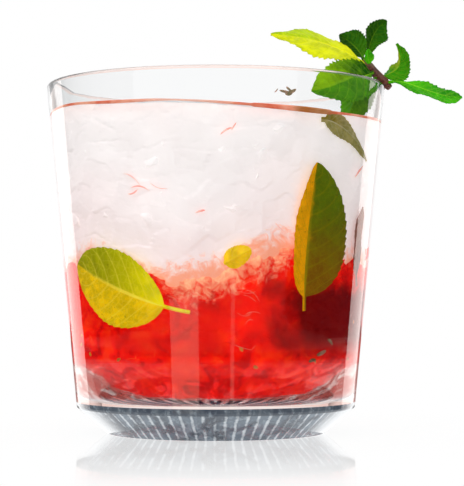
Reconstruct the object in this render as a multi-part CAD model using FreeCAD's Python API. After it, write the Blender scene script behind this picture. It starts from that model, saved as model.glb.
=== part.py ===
"""Mojito cocktail: a clear tumbler with a star-cut base, a layer of muddled fruit, an iced drink over it, and a
mint sprig that lies over the rim with two leaves hanging inside the glass.

Millimetres, +Z up. The origin is the middle of the foot's flat underside, and +X points to the sprig.
"""

import os
from math import cos, exp, log, pi, radians, sin, tan

import FreeCAD
import Part

V = FreeCAD.Vector

# --- tumbler -----------------------------------------------------------------------------------------------------
GLASS_HEIGHT = 90.0
RIM_RADIUS = 44.0
RIM_WALL = 1.7
SHOULDER_RADIUS = 36.0  # where the straight wall meets the bevel of the foot
SHOULDER_HEIGHT = 6.8
SHOULDER_ROUND = 1.2
FOOT_RADIUS = 28.0
FOOT_ROUND = 0.8
BASE_THICKNESS = 8.8
WALL_LOW = 2.6  # wall thickness where the straight bore ends
BOWL_HEIGHT = 16.0  # from the inner floor up to the end of the straight bore
FLOOR_RADIUS = 18.5  # corner of the inner floor before it is rounded
BOWL_ROUND = 9.0

# --- star cut under the base ---------------------------------------------------------------------------------------
STAR_CUTS = 20
STAR_INNER = 4.5
STAR_OUTER = 25.0
STAR_DEPTH = 1.8
STAR_HALF_ANGLE = 45.0  # degrees, from the groove's middle plane to one of its sides

# --- contents ------------------------------------------------------------------------------------------------------
HEADSPACE = 9.0  # from the rim down to the mean level of the drink
FRUIT_DEPTH = 32.0  # from the inner floor up to the mean top of the fruit
SEAT = 0.05  # clearance between the contents, the glass and the sprig
GRID = 21  # points each way of an uneven surface
# Each wave of an uneven surface: height, azimuth in degrees, distance from the axis, and width.
DRINK_WAVES = [(2.4, 235, 36, 15), (1.2, 200, 40, 12), (-0.8, 320, 36, 16), (0.9, 80, 20, 14), (-0.7, 140, 26, 13)]
FRUIT_WAVES = [(7.5, 215, 32, 13), (8.5, 300, 30, 14), (-3.5, 262, 34, 10), (5.0, 350, 26, 13), (6.0, 110, 24, 15)]

# --- mint sprig ----------------------------------------------------------------------------------------------------
SPRIG_AZIMUTH = 0.0  # degrees, where the stem crosses the rim
STEM_RADIUS = 1.15
STEM_SLOPE = 45.0  # degrees, down and outwards
STEM_OUT = 1.3  # from the rim's contact, along the stem, to its cut end
STEM_IN = 8.0  # from the rim's contact, along the stem, to its growing tip
LEAF_THICKNESS = 0.5
PETIOLE_WIDTH = 1.1
TIP_WIDTH = 0.5
TEETH = 8
TOOTH_DEPTH = 0.09


def outer_wall(z):
    """Radius of the straight outer wall at height z."""
    return SHOULDER_RADIUS + (RIM_RADIUS - SHOULDER_RADIUS) * (z - SHOULDER_HEIGHT) / (GLASS_HEIGHT - SHOULDER_HEIGHT)


def rounded_wire(corners, radii):
    """A closed wire in the XZ plane through these corners, each rounded to its radius by a tangent arc."""
    points = [V(r, 0, z) for r, z in corners]
    starts, ends, middles = [], [], []
    for i, radius in enumerate(radii):
        here, before, after = points[i], points[i - 1], points[(i + 1) % len(points)]
        back, forward = (before - here).normalize(), (after - here).normalize()
        if radius == 0:
            starts.append(here)
            ends.append(here)
            middles.append(None)
            continue
        half = back.getAngle(forward) / 2
        reach = radius / tan(half)
        inward = (back + forward).normalize()
        centre = here + inward * (radius / sin(half))
        starts.append(here + back * reach)
        ends.append(here + forward * reach)
        middles.append(centre - inward * radius)
    edges = []
    for i in range(len(points)):
        if middles[i] is not None:
            edges.append(Part.Arc(starts[i], middles[i], ends[i]).toShape())
        following = starts[(i + 1) % len(points)]
        if (following - ends[i]).Length > 1e-6:
            edges.append(Part.LineSegment(ends[i], following).toShape())
    return Part.Wire(edges)


def turned(corners, radii):
    """The solid of revolution of a rounded outline about the Z axis."""
    return Part.Face(rounded_wire(corners, radii)).revolve(V(0, 0, 0), V(0, 0, 1), 360)


def bore_corners(inset, top):
    """The inside of the glass from the axis out and up, with its corner radii. A positive inset makes it smaller."""
    bore_low = BASE_THICKNESS + BOWL_HEIGHT
    low_radius = outer_wall(bore_low) - WALL_LOW
    rim_bore = RIM_RADIUS - RIM_WALL
    slope = (rim_bore - low_radius) / (GLASS_HEIGHT - bore_low)
    top_radius = low_radius + slope * (top - bore_low)
    corners = [
        (0, BASE_THICKNESS + inset),
        (FLOOR_RADIUS - inset / 2, BASE_THICKNESS + inset),
        (low_radius - inset, bore_low + inset / 2),
        (top_radius - inset, top),
    ]
    return corners, [0, BOWL_ROUND, BOWL_ROUND, 0]


def star_wheel():
    """The double-cone cutting wheel whose edge grinds one groove, standing on the X axis under the base."""
    half_length = (STAR_OUTER - STAR_INNER) / 2
    radius = (half_length**2 + STAR_DEPTH**2) / (2 * STAR_DEPTH)
    side = STAR_DEPTH * 1.5
    flat = radius - side / tan(radians(STAR_HALF_ANGLE))
    centre = V((STAR_OUTER + STAR_INNER) / 2, 0, STAR_DEPTH - radius)
    near = Part.makeCone(radius, flat, side, centre, V(0, 1, 0))
    far = Part.makeCone(radius, flat, side, centre, V(0, -1, 0))
    return near.fuse(far)


def tumbler():
    """The glass itself, with its wall, heavy base, bevelled foot and star cut."""
    bore, bore_rounds = bore_corners(0, GLASS_HEIGHT)
    rim_round = RIM_WALL / 2 - 0.02
    corners = [(0, 0), (FOOT_RADIUS, 0), (SHOULDER_RADIUS, SHOULDER_HEIGHT), (RIM_RADIUS, GLASS_HEIGHT)]
    radii = [0, FOOT_ROUND, SHOULDER_ROUND, rim_round]
    glass = turned(corners + bore[::-1], radii + [rim_round] + bore_rounds[2:0:-1] + [0])
    wheel = star_wheel()
    for i in range(STAR_CUTS):
        cut = wheel.copy()
        cut.rotate(V(0, 0, 0), V(0, 0, 1), (i + 0.5) * 360 / STAR_CUTS)
        glass = glass.cut(cut)
    return glass


def uneven_height(level, waves, x, y):
    """Height of an uneven surface over the point x, y."""
    height = level
    for rise, azimuth, distance, width in waves:
        dx = x - distance * cos(radians(azimuth))
        dy = y - distance * sin(radians(azimuth))
        height += rise * exp(-(dx * dx + dy * dy) / (2 * width * width))
    return height


def block_under(level, waves):
    """A solid that fills everything below an uneven surface."""
    reach = RIM_RADIUS + 4
    across = [-reach + 2 * reach * i / (GRID - 1) for i in range(GRID)]
    surface = Part.BSplineSurface()
    surface.interpolate([[V(x, y, uneven_height(level, waves, x, y)) for y in across] for x in across])
    return surface.toShape().extrude(V(0, 0, -2 * GLASS_HEIGHT))


def contents():
    """The bore of the glass as one solid, a seat smaller than the glass all round."""
    corners, radii = bore_corners(SEAT, GLASS_HEIGHT)
    return turned(corners + [(0, GLASS_HEIGHT)], radii + [0])


def bezier(points, s):
    """A point on the cubic curve with these four control points."""
    a, b, c, d = points
    r = 1 - s
    return a * r**3 + b * (3 * r * r * s) + c * (3 * r * s * s) + d * s**3


def half_width(width, fullest, petiole, s):
    """Half the width of a leaf at a share s of its length: a narrow stalk, an oval blade with teeth, a blunt tip."""
    if s <= petiole:
        return PETIOLE_WIDTH / 2
    q = (s - petiole) / (1 - petiole)
    oval = sin(pi * q ** (log(0.5) / log(fullest))) ** 0.8 if q < 1 else 0
    tooth = 1 - TOOTH_DEPTH * (0.5 + 0.5 * cos(2 * pi * TEETH * q))
    fade = min(1, 6 * q)
    blade = max(TIP_WIDTH / 2, width / 2 * oval * tooth)
    return PETIOLE_WIDTH / 2 * (1 - fade) + max(blade, PETIOLE_WIDTH / 2 * (1 - q)) * fade


def leaf(midrib, side, width, fullest, fold, cup, petiole=0.1, grow=0.0):
    """A thin closed leaf. The midrib is four control points, side points from it to one edge, fullest is the share
    of the blade's length where it is widest, fold is the angle in degrees that each half rises from flat, and cup
    bends the edges up by a share of the width."""
    lengthwise = 4 * TEETH + 5
    crosswise = [-1.0, -0.7, -0.4, -0.15, 0.15, 0.4, 0.7, 1.0]

    def middle(s, t):
        step = 1e-3
        along = (bezier(midrib, min(1, s + step)) - bezier(midrib, max(0, s - step))).normalize()
        across = (side - along * side.dot(along)).normalize()
        up = across.cross(along)
        reach = (half_width(width, fullest, petiole, s) + grow) * abs(t)
        rise = reach * sin(radians(fold)) + cup * reach * abs(t)
        return bezier(midrib, s) + across * (reach * cos(radians(fold)) * (1 if t > 0 else -1)) + up * rise, up

    half = LEAF_THICKNESS / 2 + grow
    sheets = []
    for sign in (1, -1):
        grid = []
        for i in range(lengthwise):
            s = i / (lengthwise - 1)
            row = [middle(s, t) for t in crosswise]
            grid.append([point + up * (half * sign) for point, up in row])
        surface = Part.BSplineSurface()
        surface.interpolate(grid)
        sheets.append(surface.toShape())
    walls = [Part.makeRuledSurface(a, b) for a, b in zip(sheets[0].Edges, sheets[1].Edges)]
    shell = Part.Shell(sheets + walls)
    shell.sewShape()
    solid = Part.Solid(shell)
    if solid.Volume < 0:
        solid.reverse()
    return solid


def sprig_frame():
    """The stem's contact over the rim, with the outward and sideways directions there."""
    azimuth = radians(SPRIG_AZIMUTH)
    outward = V(cos(azimuth), sin(azimuth), 0)
    sideways = V(-sin(azimuth), cos(azimuth), 0)
    rim_round = RIM_WALL / 2
    stand = rim_round + STEM_RADIUS + SEAT
    slope = radians(STEM_SLOPE)
    contact = outward * (RIM_RADIUS - rim_round + stand * sin(slope))
    contact.z = GLASS_HEIGHT - rim_round + stand * cos(slope)
    return contact, outward, sideways


def place(out, across, up):
    """A point given outwards, sideways and upwards from the stem's contact over the rim."""
    contact, outward, sideways = sprig_frame()
    return contact + outward * out + sideways * across + V(0, 0, up)


def stem_point(along):
    """A point on the stem's axis: positive distances run inwards and up from the rim."""
    slope = radians(STEM_SLOPE)
    return place(-along * cos(slope), 0, along * sin(slope))


def stem(grow=0.0):
    """The cut stem: a short round stalk with a rounded growing tip."""
    low, high = stem_point(-STEM_OUT), stem_point(STEM_IN)
    stalk = Part.makeCylinder(STEM_RADIUS + grow, (high - low).Length, low, high - low)
    return stalk.fuse(Part.makeSphere(STEM_RADIUS + grow, high)).removeSplitter()


def leaf_from(along, *points):
    """The four control points of a midrib: the first lies within the stem, and the rest are given from the rim."""
    axis = stem_point(along)
    direction = (place(*points[0]) - axis).normalize()
    first = axis + direction * (STEM_RADIUS * 0.8)
    return [first] + [place(*point) for point in points]


def sprig_leaves(grow=0.0):
    """Every leaf of the sprig by name: its midrib, side, width, fullest share, fold and cup."""
    pale = leaf_from(6.8, (-11.1, -3, 9.0), (-19, -4.5, 12.2), (-30.4, -5, 12.5))
    dark = leaf_from(8.2, (-6.6, 4.4, 9.9), (-9, 6, 12.2), (-12, 6, 14))
    top = leaf_from(7.4, (-4.4, 1, 9.5), (-4.4, 2, 13.8), (0.2, 2, 17.2))
    bud = leaf_from(6.0, (-5.1, -2, 6.6), (-5.1, -2.2, 7.8), (-4.8, -2, 9.0))
    curled = leaf_from(2.8, (2.4, 1.5, 3), (5.8, 1.5, 4.8), (2.8, 0.5, 10.9))
    long = leaf_from(0.4, (4.4, -2, 1.6), (13.4, -3, -5), (19.3, -3, -3.7))
    broad = leaf_from(4.8, (-5.8, -8, 1.2), (-13.4, -12, -1.8), (-20.4, -13, -3.4))
    dipping = leaf_from(3.0, (-5.8, -2.4, 0.4), (-9, -5, -4), (-11.4, -7.5, -12.5))
    leaves = {
        "mint_leaf_pale": (pale, V(0, 0.86, 0.5), 15, 0.5, -4, -0.05),
        "mint_leaf_dark": (dark, V(0.75, 0.3, 0.6), 6.8, 0.5, 12, 0.1),
        "mint_leaf_top": (top, V(0.8, 0.5, -0.3), 5.8, 0.68, 14, 0.1),
        "mint_bud": (bud, V(0.95, 0.3, 0), 2.8, 0.5, 20, 0.1),
        "mint_leaf_curled": (curled, V(-0.5, 0.6, 0.6), 6.6, 0.38, 14, 0.1),
        "mint_leaf_long": (long, V(0, 0.8, 0.6), 8, 0.62, -6, -0.05),
        "mint_leaf_broad": (broad, V(-0.15, 0.3, 0.94), 12, 0.5, 8, 0.06),
        "mint_leaf_dipping": (dipping, V(0.9, -0.25, 0.3), 9, 0.5, 10, 0.06),
    }
    seat = stem(SEAT)
    return {name: leaf(*facts, grow=grow).cut(seat) for name, facts in leaves.items()}


def build():
    """Every node of the model by name."""
    fruit_level = BASE_THICKNESS + FRUIT_DEPTH
    filling = contents()
    leaves = sprig_leaves()
    fruit = filling.common(block_under(fruit_level, FRUIT_WAVES))
    drink = filling.common(block_under(GLASS_HEIGHT - HEADSPACE, DRINK_WAVES))
    drink = drink.cut(block_under(fruit_level + SEAT, FRUIT_WAVES))
    drink = drink.cut(sprig_leaves(SEAT)["mint_leaf_dipping"])
    return {"tumbler": tumbler(), "muddled_fruit": fruit, "drink": drink, "mint_stem": stem(), **leaves}


if __name__ == "__main__":
    os.makedirs("parts", exist_ok=True)
    for name, shape in build().items():
        solids = [s for s in shape.Solids if s.Volume > 1]
        result = solids[0] if len(solids) == 1 else Part.makeCompound(solids)
        box = result.BoundBox
        print(
            f"{name}: {len(solids)} solid, valid {result.isValid()}, {result.Volume:.1f} mm3, "
            f"x {box.XMin:.1f} {box.XMax:.1f}, y {box.YMin:.1f} {box.YMax:.1f}, z {box.ZMin:.1f} {box.ZMax:.1f}"
        )
        result.exportStep(f"parts/{name}.step")
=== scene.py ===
"""Mojito cocktail: crushed ice over muddled strawberries in a tapered tumbler, with mint sunk in the drink
and a mint sprig over the rim. Lengths are in metres, +Z is up, and the glass stands at the origin.
"""

import random
from bisect import bisect
from math import atan2, ceil, cos, exp, hypot, log, pi, radians, sin, tan

import bmesh
import bpy
from mathutils import Matrix, Vector, noise
from mathutils.bvhtree import BVHTree


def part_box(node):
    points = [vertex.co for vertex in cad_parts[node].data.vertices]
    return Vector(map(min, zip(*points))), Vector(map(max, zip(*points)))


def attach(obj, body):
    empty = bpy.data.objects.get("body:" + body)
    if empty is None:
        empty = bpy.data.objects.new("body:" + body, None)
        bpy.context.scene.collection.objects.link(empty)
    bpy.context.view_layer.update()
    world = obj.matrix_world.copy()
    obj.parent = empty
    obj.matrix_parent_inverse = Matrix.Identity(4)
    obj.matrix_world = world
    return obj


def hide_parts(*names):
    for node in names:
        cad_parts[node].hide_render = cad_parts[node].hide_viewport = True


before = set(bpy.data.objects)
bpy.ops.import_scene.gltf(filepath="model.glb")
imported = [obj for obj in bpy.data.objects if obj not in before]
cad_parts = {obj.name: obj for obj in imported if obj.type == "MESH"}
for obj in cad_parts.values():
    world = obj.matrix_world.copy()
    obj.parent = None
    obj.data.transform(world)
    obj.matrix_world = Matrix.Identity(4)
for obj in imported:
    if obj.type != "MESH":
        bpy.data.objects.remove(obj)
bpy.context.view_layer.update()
MM = 0.001
noise.seed_set(1)


# ----------------------------------------------------------------------------------------------------- tumbler
# A pressed and fire-polished tumbler of clear soda-lime glass: a straight tapered wall, a bead at the rim, a
# thick base with a bevelled foot, and a star cut into the underside. The star, the foot and its shoulder are
# painted slate grey as painted shade, with bright painted highlights along the cuts, and the rim and a band
# over the foot are tinted pink as painted reflection of the fruit.
class Value:
    """A shader output that takes +, -, * and / like a number."""

    def __init__(self, look, socket):
        self.look = look
        self.socket = socket

    def maths(self, operation, *values):
        return self.look.node("ShaderNodeMath", 0, dict(enumerate(values)), operation=operation)

    def __add__(self, other):
        return self.maths("ADD", self, other)

    def __sub__(self, other):
        return self.maths("SUBTRACT", self, other)

    def __rsub__(self, other):
        return self.maths("SUBTRACT", other, self)

    def __mul__(self, other):
        return self.maths("MULTIPLY", self, other)

    def __truediv__(self, other):
        return self.maths("DIVIDE", self, other)

    def __pow__(self, other):
        return self.maths("POWER", self, other)

    __radd__ = __add__
    __rmul__ = __mul__

    def of(self, operation):
        """A Math node's function of this value alone."""
        return self.maths(operation, self)


class Look:
    """A material built one node at a time on Object coordinates."""

    def __init__(self, name):
        self.material = bpy.data.materials.new(name)
        self.material.use_nodes = True
        self.tree = self.material.node_tree
        self.tree.nodes.clear()
        self.place = self.node("ShaderNodeTexCoord", "Object", {})
        self.x, self.y, self.z = (self.node("ShaderNodeSeparateXYZ", i, {0: self.place}) for i in range(3))

    def node(self, kind, output, inputs, **settings):
        """Adds a node and returns one output. Inputs are plain values or the outputs of other nodes."""
        made = self.tree.nodes.new(kind)
        for name, value in settings.items():
            setattr(made, name, value)
        for key, value in inputs.items():
            if isinstance(value, Value):
                self.tree.links.new(value.socket, made.inputs[key])
            else:
                made.inputs[key].default_value = value
        return Value(self, made.outputs[output])

    def noise(self, size, detail=3.0, rough=0.55, bend=0.0):
        """Fractal noise from 0 to 1 with features of this size."""
        facts = {"Vector": self.place, "Scale": 1 / size, "Detail": detail}
        return self.node("ShaderNodeTexNoise", 0, {**facts, "Roughness": rough, "Distortion": bend})

    def cells(self, size, feature="F1"):
        """Distance to the cells of a Voronoi pattern of this size."""
        return self.node("ShaderNodeTexVoronoi", 0, {"Vector": self.place, "Scale": 1 / size}, feature=feature)

    def ramp(self, value, low, high):
        """0 below low, 1 above high and smooth between."""
        facts = {0: value, 1: low, 2: high}
        return self.node("ShaderNodeMapRange", 0, facts, interpolation_type="SMOOTHSTEP")

    def blend(self, share, first, second, **settings):
        """A colour between two colours."""
        return self.node("ShaderNodeMix", 2, {0: share, 6: first, 7: second}, data_type="RGBA", **settings)

    def own(self, name):
        """A value that the mesh carries."""
        return self.node("ShaderNodeAttribute", 2, {}, attribute_name=name)

    def bump(self, height, depth, strength=1.0):
        return self.node("ShaderNodeBump", 0, {"Height": height, "Distance": depth, "Strength": strength})

    def principled(self, colour, roughness, **more):
        names = {key.replace("_", " "): value for key, value in more.items()}
        return self.node("ShaderNodeBsdfPrincipled", 0, {"Base Color": colour, "Roughness": roughness, **names})

    def mixed(self, share, first, second):
        return self.node("ShaderNodeMixShader", 0, {0: share, 1: first, 2: second})

    def light_shadow(self, shader, tint):
        """The shader, which lets light through to what lies behind it."""
        clear = self.node("ShaderNodeBsdfTransparent", 0, {0: tint})
        return self.mixed(self.node("ShaderNodeLightPath", "Is Shadow Ray", {}), shader, clear)

    def done(self, shader):
        output = self.tree.nodes.new("ShaderNodeOutputMaterial")
        self.tree.links.new(shader.socket, output.inputs[0])
        return self.material


def rgb(red, green, blue):
    """A linear colour from the usual 0 to 255 values."""
    shares = [c / 255 for c in (red, green, blue)]
    return (*(c / 12.92 if c <= 0.04 else ((c + 0.055) / 1.055) ** 2.4 for c in shares), 1)


def piece(name, bm, looks, stands_for=()):
    """Turns a bmesh into a smooth piece that rides with the glass. Faces keep their index into the looks."""
    bmesh.ops.recalc_face_normals(bm, faces=bm.faces[:])
    mesh = bpy.data.meshes.new(name)
    bm.to_mesh(mesh)
    bm.free()
    mesh.polygons.foreach_set("use_smooth", [True] * len(mesh.polygons))
    for look in looks if isinstance(looks, list) else [looks]:
        mesh.materials.append(look)
    made = bpy.data.objects.new(name, mesh)
    bpy.context.scene.collection.objects.link(made)
    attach(made, "root")
    if stands_for:
        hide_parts(*stands_for)
    return made


def rounded(corners, steps=10):
    """Points of an outline. Each corner is (radius, height, rounding)."""
    points = []
    for i, (r, z, rounding) in enumerate(corners):
        here = Vector((r, z))
        if not rounding:
            points.append(here)
            continue
        back = (Vector(corners[i - 1][:2]) - here).normalized()
        forward = (Vector(corners[i + 1][:2]) - here).normalized()
        half = back.angle(forward) / 2
        centre = here + (back + forward).normalized() * (rounding / sin(half))
        first = (here + back * (rounding / tan(half)) - centre).normalized()
        last = (here + forward * (rounding / tan(half)) - centre).normalized()
        points += [centre + first.slerp(last, k / steps) * rounding for k in range(steps + 1)]
    return points


def divided(points, longest):
    """The same outline with no stretch longer than this."""
    fine = [points[0]]
    for a, b in zip(points, points[1:]):
        count = max(1, ceil((b - a).length / longest))
        fine += [a.lerp(b, k / count) for k in range(1, count + 1)]
    return fine


def join(bm, rings):
    """Faces between each ring of vertices and the next. A ring of one vertex is a pole."""
    for low, high in zip(rings, rings[1:]):
        turns = max(len(low), len(high))
        for k in range(turns):
            a, b = low[k % len(low)], low[(k + 1) % len(low)]
            c, d = high[(k + 1) % len(high)], high[k % len(high)]
            bm.faces.new(list(dict.fromkeys((a, b, c, d))))
    return bm


def lathe(outline, turns, shape=None):
    """A closed body of revolution. The shape function may move each point, given its radius, height and
    angle."""
    bm = bmesh.new()
    rings = []
    for r, z in outline:
        ring = []
        for k in range(turns if r > 1e-7 else 1):
            angle = 2 * pi * k / turns
            radius, height = shape(r, z, angle) if shape else (r, z)
            ring.append(bm.verts.new((radius * cos(angle), radius * sin(angle), height)))
        rings.append(ring)
    return join(bm, rings)


glass_low, glass_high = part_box("tumbler")
HEIGHT = glass_high[2]
RIM = (glass_high[0] - glass_low[0]) / 2 + 0.08 * MM
SHOULDER, SHOULDER_RADIUS = 6.8 * MM, 36 * MM
FOOT_RADIUS = 28 * MM
# Tops of the shoulder's painted slate shade and of the band over it, tinted pink as painted reflection of the
# fruit.
SHADE_PAINT_TOP, PINK_PAINT_TOP = 8.2 * MM, 9.4 * MM
STAR_CUTS, STAR_INNER, STAR_OUTER, STAR_DEPTH = 20, 4.5 * MM, 25 * MM, 1.8 * MM
FLOOR = 8.8 * MM
FLOOR_RADIUS = 21 * MM
BOWL_TOP = 20.5 * MM
BOWL_RADIUS = 34.66 * MM
BOWL_ROUND = 12 * MM
RIM_WALL = 1.7 * MM


def wall(z):
    """Inner radius of the straight wall at height z."""
    share = (z - BOWL_TOP) / (HEIGHT - BOWL_TOP)
    return BOWL_RADIUS + (RIM - RIM_WALL - BOWL_RADIUS) * share


def bore_outline(outward, top):
    """The bore from the middle of its floor up to this height, grown outwards."""
    corners = [
        (0, FLOOR - outward, 0),
        (FLOOR_RADIUS + outward / 2, FLOOR - outward, BOWL_ROUND),
        (BOWL_RADIUS + outward, BOWL_TOP - outward / 2, BOWL_ROUND),
        (wall(top) + outward, top, 0),
    ]
    return rounded(corners, 16)


BORE = [(z, r) for r, z in bore_outline(0, 0.1)]


def bore(z):
    """Inner radius at height z."""
    k = min(max(bisect(BORE, (z, 1)), 2), len(BORE) - 1)
    (low, r_low), (high, r_high) = BORE[k - 1], BORE[k]
    return r_low + (r_high - r_low) * (max(z, FLOOR) - low) / (high - low)


def outer_wall(z):
    """Outer radius of the straight wall at height z."""
    return SHOULDER_RADIUS + (RIM - SHOULDER_RADIUS) * (z - SHOULDER) / (HEIGHT - SHOULDER)


def tumbler():
    bead = 0.83 * MM
    outside = [
        (0, 0, 0),
        (FOOT_RADIUS, 0, 0.8 * MM),
        (SHOULDER_RADIUS, SHOULDER, 1.2 * MM),
        (outer_wall(SHADE_PAINT_TOP), SHADE_PAINT_TOP, 0),
        (outer_wall(PINK_PAINT_TOP), PINK_PAINT_TOP, 0),
        (RIM, HEIGHT, bead),
        (RIM - RIM_WALL, HEIGHT, bead),
        (BOWL_RADIUS, BOWL_TOP, BOWL_ROUND),
        (FLOOR_RADIUS, FLOOR, BOWL_ROUND),
        (0, FLOOR, 0),
    ]

    def star(r, z, angle):
        if z > 0.001 * MM or not STAR_INNER < r < STAR_OUTER:
            return r, z
        share = (r - (STAR_INNER + STAR_OUTER) / 2) / ((STAR_OUTER - STAR_INNER) / 2)
        turn = (angle * STAR_CUTS / (2 * pi)) % 1 - 0.5
        return r, max(0, STAR_DEPTH * (1 - share * share) - r * abs(sin(turn * 2 * pi / STAR_CUTS)))

    outline = rounded(outside, 10)
    foot = [p for p in outline if p[1] < 0.001 * MM]
    underside = divided(foot, 0.7 * MM)
    return lathe(underside + divided(outline[len(foot) :], 4 * MM), 320, star)


def glass_look(name, shine, tint=(0.985, 0.992, 0.995, 1)):
    """Clear glass. The shine is the share of the usual reflection, which is small where liquid wets it."""
    look = Look(name)
    smears = look.ramp(look.noise(9 * MM, 4), 0.55, 0.8)
    ripple = look.noise(14 * MM, 2) + look.noise(4 * MM, 2) * 0.15
    colour = look.blend(smears * 0.5, tint, (0.96, 0.97, 0.975, 1))
    facts = {"IOR": 1.5, "Transmission Weight": 1.0, "Specular Tint": (shine, shine, shine, 1)}
    facts["Normal"] = look.bump(ripple, 0.1 * MM, 0.5)
    return look.done(look.light_shadow(look.principled(colour, smears * 0.02, **facts), (0.97, 0.98, 0.98, 1)))


def star_painted_look():
    """Slate grey painted shade with the star's rays as bright painted highlights, glowing a little, and a
    little clear.
    """
    look = Look("star_cut_painted_shade")
    grain = look.noise(3 * MM, 4)
    angle = look.y.maths("ARCTAN2", look.y, look.x)
    wave = (angle * STAR_CUTS + (grain - 0.5) * 1.2).of("COSINE")
    away = (look.x * look.x + look.y * look.y).of("SQRT")
    rays = look.ramp(away, STAR_OUTER, STAR_OUTER * 0.9) * look.ramp(away, 2.5 * MM, STAR_INNER)
    # Painted highlight along the star's cuts, over painted slate shade.
    cut = look.ramp(wave, -0.2, -0.75) * rays
    painted_slate_shade = look.blend(look.ramp(grain, 0.35, 0.65), rgb(34, 50, 72), rgb(104, 120, 140))
    colour = look.blend(cut, painted_slate_shade, rgb(238, 243, 246))
    facts = {"Specular IOR Level": 0.1, "Emission Color": colour, "Emission Strength": 0.25}
    solid = look.principled(colour, 0.3, **facts)
    glass = look.principled((0.98, 0.99, 1, 1), 0.02, IOR=1.5, Transmission_Weight=1.0)
    return look.done(look.mixed(0.9 - cut * 0.15, glass, solid))


def foot_painted_look(name, rays, solid_share, pale):
    """The foot's glass: painted slate shade with bright cuts as painted highlights that fan out round it,
    glowing a little, clear at its outline.
    """
    look = Look(name)
    cloud = look.noise(6 * MM, 4, 0.6, 0.6)
    grain = look.noise(1.6 * MM, 4, 0.65)
    angle = look.y.maths("ARCTAN2", look.y, look.x)
    wave = (angle * 80 + (cloud - 0.5) * 3).of("COSINE")
    # Painted shade and highlight: slate grey with a paler grain, and bright cuts fanning round the foot.
    cut = look.ramp(wave + (grain - 0.5) * 1.6, 0.35, 1.1) * look.ramp(cloud, 0.36, 0.56) * rays
    painted_slate_shade = look.blend(look.ramp(cloud, 0.38, 0.6), rgb(28, 42, 60), pale)
    painted_slate_shade = look.blend(look.ramp(grain, 0.5, 0.72) * 0.4, painted_slate_shade, rgb(166, 180, 190))
    colour = look.blend(cut * 0.7, painted_slate_shade, rgb(222, 229, 234))
    facts = {"Specular IOR Level": 0.3, "Emission Color": colour, "Emission Strength": 0.1}
    solid = look.principled(colour, 0.12, **facts)
    facts = {"IOR": 1.01, "Transmission Weight": 1.0, "Normal": look.bump(cloud, 0.1 * MM, 0.6)}
    glass = look.principled((0.97, 0.985, 1, 1), 0.0, **facts)
    edge = look.node("ShaderNodeLayerWeight", 1, {0: 0.5})
    inside = look.node("ShaderNodeNewGeometry", "Backfacing", {})
    return look.done(look.mixed(look.ramp(edge, 0.86, 0.62) * (1 - inside) * solid_share, glass, solid))


def tumbler_piece():
    bm = tumbler()
    wetted, underside, bevel, shoulder, rim, painted_pink_band = range(1, 7)
    for face in bm.faces:
        centre = face.calc_center_median()
        r = hypot(centre.x, centre.y)
        if centre.z < 1.85 * MM and r < 27.6 * MM:
            face.material_index = underside
        elif centre.z < 6.3 * MM:
            face.material_index = bevel
        # The shoulder, painted with slate shade.
        elif centre.z < SHADE_PAINT_TOP:
            face.material_index = shoulder
        # The band tinted pink as painted reflection of the fruit.
        elif centre.z < PINK_PAINT_TOP and r > FOOT_RADIUS + 2 * MM:
            face.material_index = painted_pink_band
        elif centre.z > HEIGHT - 1.2 * MM:
            face.material_index = rim
        elif FLOOR - 0.1 * MM < centre.z < 81 * MM and r < bore(centre.z) + 0.4 * MM:
            face.material_index = wetted
    looks = [
        glass_look("clear_glass", 1.0),
        glass_look("wetted_glass", 0.08),
        # Painted shade and highlights: the star, the foot and the shoulder are slate grey with bright cuts.
        star_painted_look(),
        foot_painted_look("fanned_foot_painted_shade", 1.0, 0.92, rgb(90, 106, 120)),
        foot_painted_look("shoulder_painted_shade", 0.1, 0.95, rgb(56, 68, 80)),
        # Painted reflection: the rim and the band over the foot are tinted pink for the fruit's red seen in the
        # glass.
        glass_look("rim_glass", 1.0, (1, 0.84, 0.79, 1)),
        glass_look("painted_pink_glass", 1.0, (0.9, 0.66, 0.6, 1)),
    ]
    piece("glass_tumbler", bm, looks, ["tumbler"])


tumbler_piece()


# ------------------------------------------------------------------------------------------------------- drink
# Rum, lime and soda between the ice: a clear, faintly pink liquid, coral low down round the bowl's corner, the
# juice's own colour darkened in swirls by painted shade. It reaches just into the glass, and its surface climbs
# a little where it meets the wall.
def top_of(node):
    """A function for the height of a CAD node's upper surface over x, y."""
    tree = BVHTree.FromObject(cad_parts[node], bpy.context.evaluated_depsgraph_get())
    reach = (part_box(node)[1][0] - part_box(node)[0][0]) / 2 * 0.96

    def height(x, y):
        share = min(1, reach / max(hypot(x, y), 1e-9))
        return tree.ray_cast(Vector((x * share, y * share, 0.3)), Vector((0, 0, -1)))[0][2]

    return height


drink_top = top_of("drink")
fruit_top = top_of("muddled_fruit")
LEVEL = 80 * MM
NEAR_WALL = 0.035


def at_wall(level, x, y):
    """A surface's height near the glass, in the direction of x, y."""
    return level(x * NEAR_WALL, y * NEAR_WALL)


def drink_level(x, y):
    """Height of the drink, which settles a little below the solid's crest on the front left."""
    spread = hypot(x + 20.6 * MM, y + 29.5 * MM) / (13 * MM)
    return drink_top(x, y) - 0.5 * MM - 1.2 * MM * exp(-spread * spread)


def surface(x, y):
    """Height of the drink's surface, with the rise at the wall."""
    return drink_level(x, y) + 0.6 * MM * exp(-max(0, bore(LEVEL) - hypot(x, y)) / (1.1 * MM))


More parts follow.
